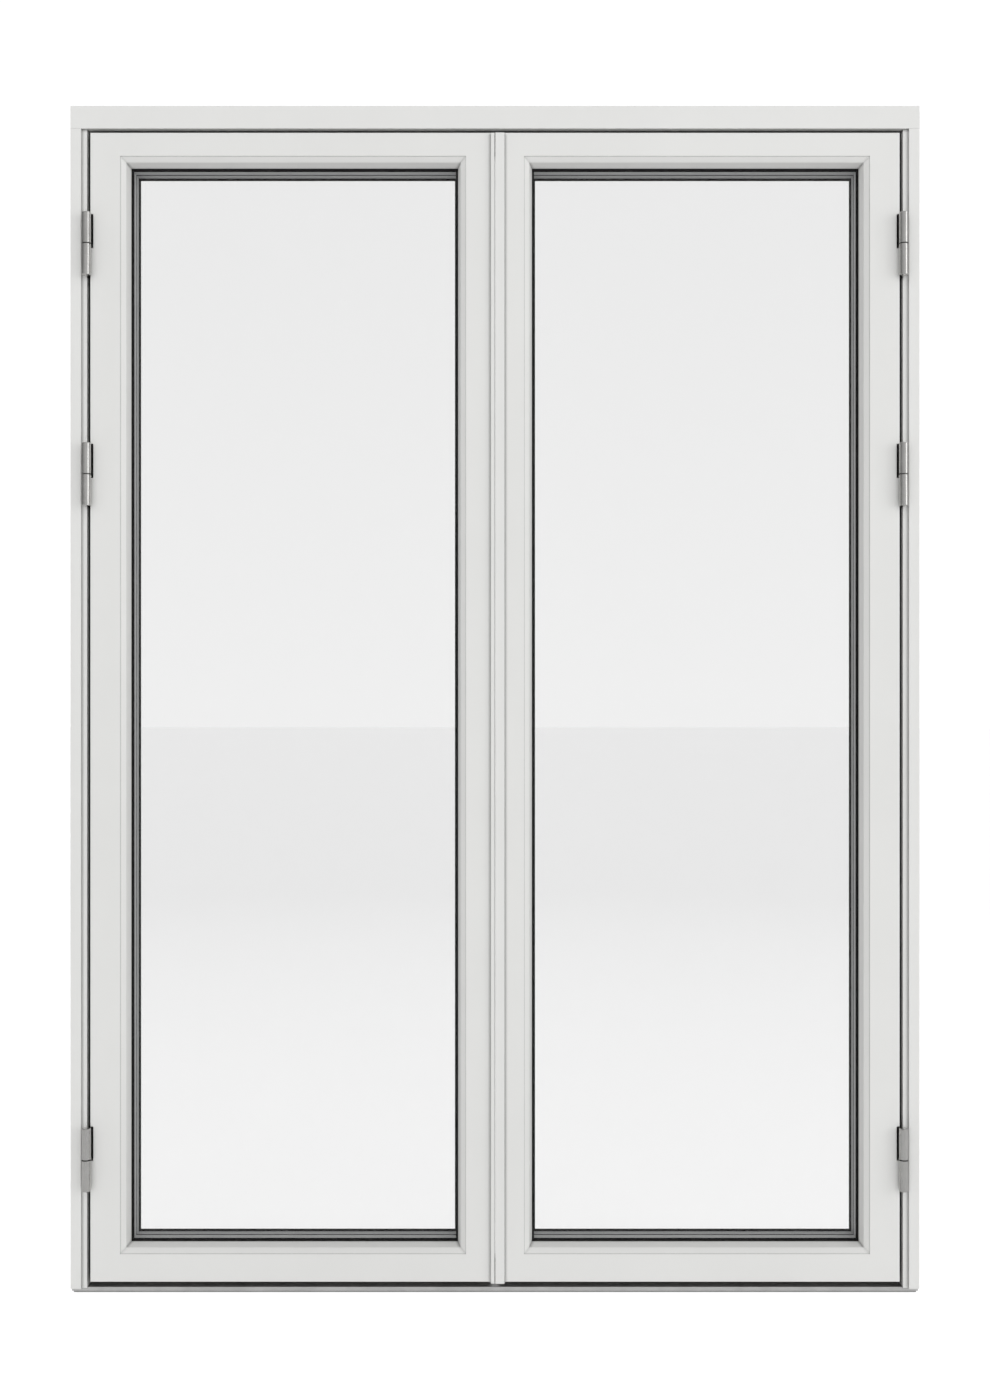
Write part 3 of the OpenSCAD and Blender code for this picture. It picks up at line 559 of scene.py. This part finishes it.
class DoorStage(bpy.types.PropertyGroup):
    """Camera, floor and light."""

    camera_distance: FloatProperty(
        name="Camera distance", description="From the frame's outside face", default=2.9, min=0.5, unit="LENGTH"
    )
    camera_height: FloatProperty(
        name="Camera height", description="Above the floor", default=1.0474, unit="LENGTH"
    )
    lens: FloatProperty(name="Lens", description="Focal length in millimetres", default=42.5, min=10)
    room: level("Room", "Brightness of the room at the sides", 0.45)
    room_front: level("Room front", "What the room gains towards the front and the back", 1.84)
    room_overhead: level("Room overhead", "What the room loses towards the ceiling", 0.25)
    mirror_side: level("Mirrored sides", "What metal and glass mirror at the sides", 0.3)
    mirror_front: level("Mirrored front", "What metal and glass mirror at the front and the back", 0.65)
    mirror_right: level("Mirrored right", "What metal and glass gain to the right and lose to the left", 0.15)
    sky_low: level("Backdrop, low", "Brightness that the camera sees at eye level", 1.1)
    sky_high: level("Backdrop, high", "Brightness that the camera sees overhead", 1.045)
    key: level("Key light", "Power in watts of the soft light to the right", 115)
    floor_light: level("Floor light", "Light that the floor gives off", 0.26)
    floor_glow: level("Floor glow", "Light that the camera sees the floor give off", 0.64)
    near_glow: level("Near glow", "What the floor's glow gains close to the doors", 0.17)
    paper: colour("Paper", "Colour of the floor", "#CBCBCB")


# ---- Pieces ----


class DOORS_OT_cladding(bpy.types.Operator):
    """Powder-coated bars outside the leaves and the frame"""

    bl_idname = "doors.cladding"
    bl_label = "Aluminium Cladding"

    def execute(self, context):
        sizes = context.scene.door_sizes
        runs = {"hinge_side": "Z", "meeting_side": "Z", "top": "X", "bottom": "X"}
        bars = {f"{side}_{bar}_cladding": run for side in SIDES for bar, run in runs.items()}
        bars.update({f"{side}_jamb_cladding": "Z" for side in SIDES})
        bars["head_cladding"] = "X"
        for node, run in bars.items():
            rounded_node(node, finish("coat"), sizes.coat_radius, run)
        for side in SIDES:
            node = f"{side}_meeting_strip"
            rounded_node(node, finish("coat"), sizes.strip_radius, "Z")
        return {"FINISHED"}


class DOORS_OT_timber(bpy.types.Operator):
    """Painted stiles, rails, frame and threshold core with eased edges"""

    bl_idname = "doors.timber"
    bl_label = "Painted Timber"

    def execute(self, context):
        radius = context.scene.door_sizes.timber_radius
        uprights = [f"{side}_{part}" for side in SIDES for part in ("jamb", "hinge_stile", "meeting_stile")]
        levels = [f"{side}_{part}" for side in SIDES for part in ("top_rail", "bottom_rail")]
        for node in uprights:
            rounded_node(node, finish("paint_z"), radius, "Z", least_angle=40)
        for node in (*levels, "frame_head", "threshold_core"):
            rounded_node(node, finish("paint_x"), radius, "X", least_angle=40)
        return {"FINISHED"}


class DOORS_OT_threshold(bpy.types.Operator):
    """Anodised cover over the threshold"""

    bl_idname = "doors.threshold"
    bl_label = "Threshold Cover"

    def execute(self, context):
        radius = context.scene.door_sizes.coat_radius
        rounded_node("threshold_cover", finish("anodised"), radius, "X")
        return {"FINISHED"}


class DOORS_OT_glazing(bpy.types.Operator):
    """Panes, spacer bars, sealant, packers and glazing seals"""

    bl_idname = "doors.glazing"
    bl_label = "Glazing"

    def execute(self, context):
        radius = context.scene.door_sizes.seal_radius
        for side in SIDES:
            for pane in ("outer_pane", "middle_pane", "inner_pane"):
                dress(f"{side}_{pane}", finish("glass"))
            dress(f"{side}_spacer_bars", finish("spacer"))
            dress(f"{side}_edge_sealant", finish("rubber"))
            dress(f"{side}_setting_blocks", finish("nylon"))
            for seal in ("outer_glazing_seal", "inner_glazing_seal"):
                rounded_node(f"{side}_{seal}", finish("rubber"), radius)
        return {"FINISHED"}


class DOORS_OT_seals(bpy.types.Operator):
    """Rubber seals in the frame and between the leaves"""

    bl_idname = "doors.seals"
    bl_label = "Frame Seals"

    def execute(self, context):
        radius = context.scene.door_sizes.seal_radius
        for node in ("frame_seal", "left_meeting_seal", "right_meeting_seal"):
            rounded_node(node, finish("rubber"), radius)
        return {"FINISHED"}


class DOORS_OT_hinges(bpy.types.Operator):
    """Lift-off hinges with screws and the washers that the leaves turn on"""

    bl_idname = "doors.hinges"
    bl_label = "Hinges"

    def execute(self, context):
        radius = context.scene.door_sizes.hinge_radius
        for side, sign in SIDES.items():
            for part, body, way in (("leaf", f"{side}_leaf", sign), ("frame", "root", -sign)):
                node = f"{side}_{part}_hinges"
                rounded_node(node, finish("plated"), radius)
                places = []
                for low, high in faces_towards(node, (way, 0, 0)):
                    for step, share in enumerate(HINGE_SCREW_HEIGHTS):
                        y = high.y - SCREW_FROM_END["hinge"] - HINGE_SCREW_PITCH * step
                        places.append((high.x, y, low.z + share * (high.z - low.z)))
                screws(f"{node}_screws", places, (way, 0, 0), body)
            self.washers(side)
        dress("hinge_pins", finish("plated"))
        return {"FINISHED"}

    def washers(self, side):
        """A black ring between the knuckles of each hinge, as thick as the gap there."""
        knuckles = {part: faces_towards(f"{side}_{part}_hinges", (0, 0, way)) for part, way in PARTING.items()}
        joint = next(j for j in frame["record"]["behaviour"]["joints"] if j["name"] == f"{side}_leaf_swing")
        axis = Vector(joint["pos_m"])
        sizes = bpy.context.scene.door_sizes
        shape = bmesh.new()
        for upper, lower in zip(knuckles["leaf"], knuckles["frame"]):
            z0, z1 = lower[1].z, upper[0].z
            profile = [(sizes.washer_hole, z0), (sizes.washer_radius, z0), (sizes.washer_radius, z1)]
            profile.append((sizes.washer_hole, z1))
            verts = [shape.verts.new((axis.x + r, axis.y, z)) for r, z in profile]
            edges = [shape.edges.new((verts[i], verts[(i + 1) % 4])) for i in range(4)]
            bmesh.ops.spin(
                shape,
                geom=verts + edges,
                cent=(axis.x, axis.y, z0),
                axis=(0, 0, 1),
                angle=2 * math.pi,
                steps=40,
                use_merge=True,
            )
        bmesh.ops.recalc_face_normals(shape, faces=shape.faces)
        piece_from(shape, f"{side}_hinge_washers", finish("nylon"), "root")


class DOORS_OT_lock(bpy.types.Operator):
    """Bolts, rods, plates and keeps with their screws"""

    bl_idname = "doors.lock"
    bl_label = "Lock and Bolts"

    def execute(self, context):
        radius = context.scene.door_sizes.steel_radius
        rounded = (
            "bolt_keeps",
            "upper_flush_bolt",
            "lower_flush_bolt",
            "flush_bolt_plates",
            "lock_faceplate",
            "upper_lock_rod",
            "lower_lock_rod",
        )
        for node in rounded:
            rounded_node(node, finish("plated"), radius)
        dress("lock_case", finish("plated"))
        self.keep_screws()
        self.edge_screws("lock_faceplate", -1, "right_leaf", 9)
        self.edge_screws("flush_bolt_plates", 1, "left_leaf", 2)
        return {"FINISHED"}

    def keep_screws(self):
        """A screw near each end of both keeps, the upper one seen from below."""
        for name, way, pick in (("upper_keep_screws", -1, -1), ("lower_keep_screws", 1, 0)):
            low, high = faces_towards("bolt_keeps", (0, 0, way))[pick]
            middle = (low.y + high.y) / 2
            inset = SCREW_FROM_END["keep"]
            places = [(x, middle, low.z) for x in (low.x + inset, high.x - inset)]
            screws(name, places, (0, 0, way), "root")

    def edge_screws(self, node, way, body, count):
        """Screws spread evenly along each plate in the leaf's free edge."""
        places = []
        for low, high in faces_towards(node, (way, 0, 0)):
            first, last = low.z + SCREW_FROM_END["faceplate"], high.z - SCREW_FROM_END["faceplate"]
            for step in range(count):
                places.append((low.x, (low.y + high.y) / 2, first + (last - first) * step / (count - 1)))
        screws(f"{node}_screws", places, (way, 0, 0), body)


class DOORS_OT_handle(bpy.types.Operator):
    """Inside lever of round bar on a screwed rose"""

    bl_idname = "doors.handle"
    bl_label = "Handle"

    def execute(self, context):
        sizes = context.scene.door_sizes
        rounded_node("handle_rose", finish("handle"), sizes.rose_radius, least_angle=60)
        low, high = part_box("handle_rose")
        middle = (low.x + high.x) / 2
        inset = SCREW_FROM_END["rose"]
        places = [(middle, high.y, z) for z in (low.z + inset, high.z - inset)]
        screws("handle_rose_screws", places, (0, 1, 0), "right_leaf")
        self.lever(sizes, high.y)
        return {"FINISHED"}

    def lever(self, sizes, rose_top):
        """A neck, an elbow and a grip with a rounded end, all from one round section."""
        low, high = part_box("handle")
        radius = (high.x - low.x) / 2
        x, z = (high.x + low.x) / 2, low.z + radius
        elbow = sizes.elbow_radius
        neck_end = high.y - radius - elbow
        shape = bmesh.new()
        neck_start = rose_top - LEVER_INSIDE_ROSE
        start = Matrix.Translation((x, neck_start, z)) @ Matrix.Rotation(math.radians(-90), 4, "X")
        bmesh.ops.create_circle(shape, cap_ends=True, segments=48, radius=radius, matrix=start)
        end = self.pulled(shape, list(shape.faces), (0, neck_end - neck_start, 0))
        rim = [part for face in end for part in (*face.edges, *face.verts)]
        turned = bmesh.ops.spin(
            shape,
            geom=end + rim,
            cent=(x, neck_end, z + elbow),
            axis=(1, 0, 0),
            angle=math.radians(90),
            steps=14,
        )["geom_last"]
        inner = [part for part in turned if isinstance(part, bmesh.types.BMFace)]
        end = self.pulled(shape, inner, (0, 0, high.z - z - elbow))
        bmesh.ops.delete(shape, geom=[face for face in inner if face.is_valid], context="FACES_ONLY")
        round_edges(shape, list(end[0].edges), radius * 0.96, 10)
        spindle = bmesh.ops.create_cube(shape, size=1)["verts"]
        size = Vector((SPINDLE_WIDTH, rose_top - low.y, SPINDLE_WIDTH))
        bmesh.ops.scale(shape, vec=size, verts=spindle)
        bmesh.ops.translate(shape, vec=(x, (rose_top + low.y) / 2, z), verts=spindle)
        bmesh.ops.recalc_face_normals(shape, faces=shape.faces)
        piece_from(shape, "lever", finish("handle"), "handle_body", ("handle",))

    def pulled(self, shape, faces, move):
        """Extrudes faces by a move and returns the moved faces."""
        made = bmesh.ops.extrude_face_region(shape, geom=faces)["geom"]
        bmesh.ops.translate(shape, vec=move, verts=[p for p in made if isinstance(p, bmesh.types.BMVert)])
        return [p for p in made if isinstance(p, bmesh.types.BMFace)]


class DOORS_OT_caps(bpy.types.Operator):
    """Plastic caps over the frame's screws, in the gap beside the leaves"""

    bl_idname = "doors.caps"
    bl_label = "Screw Caps"

    def execute(self, context):
        sizes = context.scene.door_sizes
        mounts = [mount for mount in frame["record"]["mounts"] if mount["kind"] == "bolt_pattern"]
        for side, sign in SIDES.items():
            jamb_x = faces_towards(f"{side}_frame_hinges", (sign, 0, 0))[0][0].x
            shape = bmesh.new()
            for mount in mounts:
                if not mount["name"].startswith(side):
                    continue
                x, y, z = mount["pos_m"]
                half = mount["dims"]["spacing_y_mm"] * MM / 2
                for place in ((jamb_x, y, z - half), (jamb_x, y, z + half)):
                    others = set(shape.verts)
                    top = disc(shape, sizes.cap_radius, sizes.cap_radius, sizes.cap_height, 40)
                    round_edges(shape, list(top.edges), sizes.cap_height * 0.7, 4)
                    made = [vert for vert in shape.verts if vert not in others]
                    bmesh.ops.transform(shape, matrix=turned_to((-sign, 0, 0), place), verts=made)
            piece_from(shape, f"{side}_screw_caps", finish("cap"), "root")
        return {"FINISHED"}


class DOORS_OT_stage(bpy.types.Operator):
    """Pale floor, soft studio light and the camera"""

    bl_idname = "doors.stage"
    bl_label = "Studio"

    def execute(self, context):
        scene = context.scene
        stage = scene.door_stage
        scene.view_settings.view_transform = "Standard"
        # Three panes have six faces, and two open leaves can stand in line
        scene.cycles.transparent_max_bounces = 32
        self.floor(stage)
        self.world(scene, stage)
        self.soft_light("key_light", stage.key, KEY_SIZE, KEY_PLACE)
        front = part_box("left_jamb_cladding")[0].y
        camera = bpy.data.objects.new("camera", bpy.data.cameras.new("camera"))
        camera.location = (0, front - stage.camera_distance, stage.camera_height)
        camera.rotation_euler = (math.radians(90), 0, 0)
        camera.data.lens = stage.lens
        camera.data.clip_end = 200
        scene.collection.objects.link(camera)
        scene.camera = camera
        return {"FINISHED"}

    def floor(self, stage):
        """A wide pale floor under the doors."""
        shape = bmesh.new()
        bmesh.ops.create_grid(shape, x_segments=1, y_segments=1, size=60)
        mesh = bpy.data.meshes.new("floor")
        shape.to_mesh(mesh)
        shape.free()
        paper = studio_paper(stage.paper, stage.floor_light, stage.floor_glow, stage.near_glow)
        mesh.materials.append(paper)
        floor = bpy.data.objects.new("floor", mesh)
        floor.location.z = CAD_BOX[0].z
        bpy.context.scene.collection.objects.link(floor)

    def world(self, scene, stage):
        """A white backdrop for the camera, and a softly lit room for everything else."""
        world = bpy.data.worlds.new("studio")
        world.use_nodes = True
        tree = world.node_tree
        place = add_node(tree, "TexCoord").outputs["Generated"]
        direction = add_node(tree, "SeparateXYZ", inputs={"Vector": place})
        depth = add_node(tree, "Math", {"operation": "ABSOLUTE"}, {0: direction.outputs["Y"]}).outputs[0]
        height = add_node(tree, "Math", {"operation": "ABSOLUTE"}, {0: direction.outputs["Z"]}).outputs[0]
        # The third power gathers the light in front of the doors and behind them
        gathered = add_node(tree, "Math", {"operation": "POWER"}, {0: depth, 1: 3}).outputs[0]
        level_part = between(tree, gathered, stage.room, stage.room + stage.room_front)
        overhead = between(tree, height, 0, stage.room_overhead)
        soft = add_node(tree, "Math", {"operation": "SUBTRACT"}, {0: level_part, 1: overhead}).outputs[0]
        level_mirror = between(tree, depth, stage.mirror_side, stage.mirror_front)
        inputs = {0: direction.outputs["X"], 1: stage.mirror_right, 2: level_mirror}
        mirrored = add_node(tree, "Math", {"operation": "MULTIPLY_ADD"}, inputs).outputs[0]
        path = add_node(tree, "LightPath")
        room = add_node(tree, "Mix", inputs={0: path.outputs["Is Glossy Ray"], 2: soft, 3: mirrored}).outputs[0]
        inputs = {"From Max": 0.3, "To Min": stage.sky_low, "To Max": stage.sky_high}
        inputs["Value"] = direction.outputs["Z"]
        backdrop = add_node(tree, "MapRange", inputs=inputs).outputs["Result"]
        inputs = {0: path.outputs["Is Camera Ray"], 2: room, 3: backdrop}
        strength = add_node(tree, "Mix", inputs=inputs).outputs[0]
        tree.nodes["Background"].inputs["Color"].default_value = (1, 1, 1, 1)
        tree.links.new(strength, tree.nodes["Background"].inputs["Strength"])
        scene.world = world

    def soft_light(self, name, power, size, place):
        """A soft box that shines at the doors' middle and that the camera doesn't see."""
        light = bpy.data.lights.new(name, "AREA")
        light.shape = "RECTANGLE"
        light.size, light.size_y = size
        light.energy = power
        lamp = bpy.data.objects.new(name, light)
        lamp.location = place
        aim = (CAD_BOX[0] + CAD_BOX[1]) / 2
        lamp.rotation_euler = (aim - Vector(place)).to_track_quat("-Z", "Y").to_euler()
        lamp.visible_camera = False
        bpy.context.scene.collection.objects.link(lamp)


class DOORS_PT_panel(bpy.types.Panel):
    """Lists the doors' pieces and settings"""

    bl_idname = "DOORS_PT_panel"
    bl_label = "Glazed Balcony Doors"
    bl_space_type = "VIEW_3D"
    bl_region_type = "UI"
    bl_category = "Doors"

    def draw(self, context):
        layout = self.layout
        for group in (context.scene.door_finishes, context.scene.door_sizes, context.scene.door_stage):
            box = layout.box()
            for name in group.__annotations__:
                box.prop(group, name)
        for operator in PIECE_OPERATORS:
            layout.operator(operator.bl_idname)


SETTINGS = {"door_finishes": DoorFinishes, "door_sizes": DoorSizes, "door_stage": DoorStage}
PIECE_OPERATORS = (
    DOORS_OT_cladding,
    DOORS_OT_timber,
    DOORS_OT_threshold,
    DOORS_OT_glazing,
    DOORS_OT_seals,
    DOORS_OT_hinges,
    DOORS_OT_lock,
    DOORS_OT_handle,
    DOORS_OT_caps,
    DOORS_OT_stage,
)
CLASSES = (*SETTINGS.values(), *PIECE_OPERATORS, DOORS_PT_panel)


def register():
    for cls in CLASSES:
        bpy.utils.register_class(cls)
    for name, group in SETTINGS.items():
        setattr(bpy.types.Scene, name, PointerProperty(type=group))


def unregister():
    for name in SETTINGS:
        delattr(bpy.types.Scene, name)
    for cls in reversed(CLASSES):
        bpy.utils.unregister_class(cls)


def main():
    """Builds every piece and the stage."""
    register()
    for operator in PIECE_OPERATORS:
        category, name = operator.bl_idname.split(".")
        getattr(getattr(bpy.ops, category), name)()


if __name__ == "__main__":
    main()
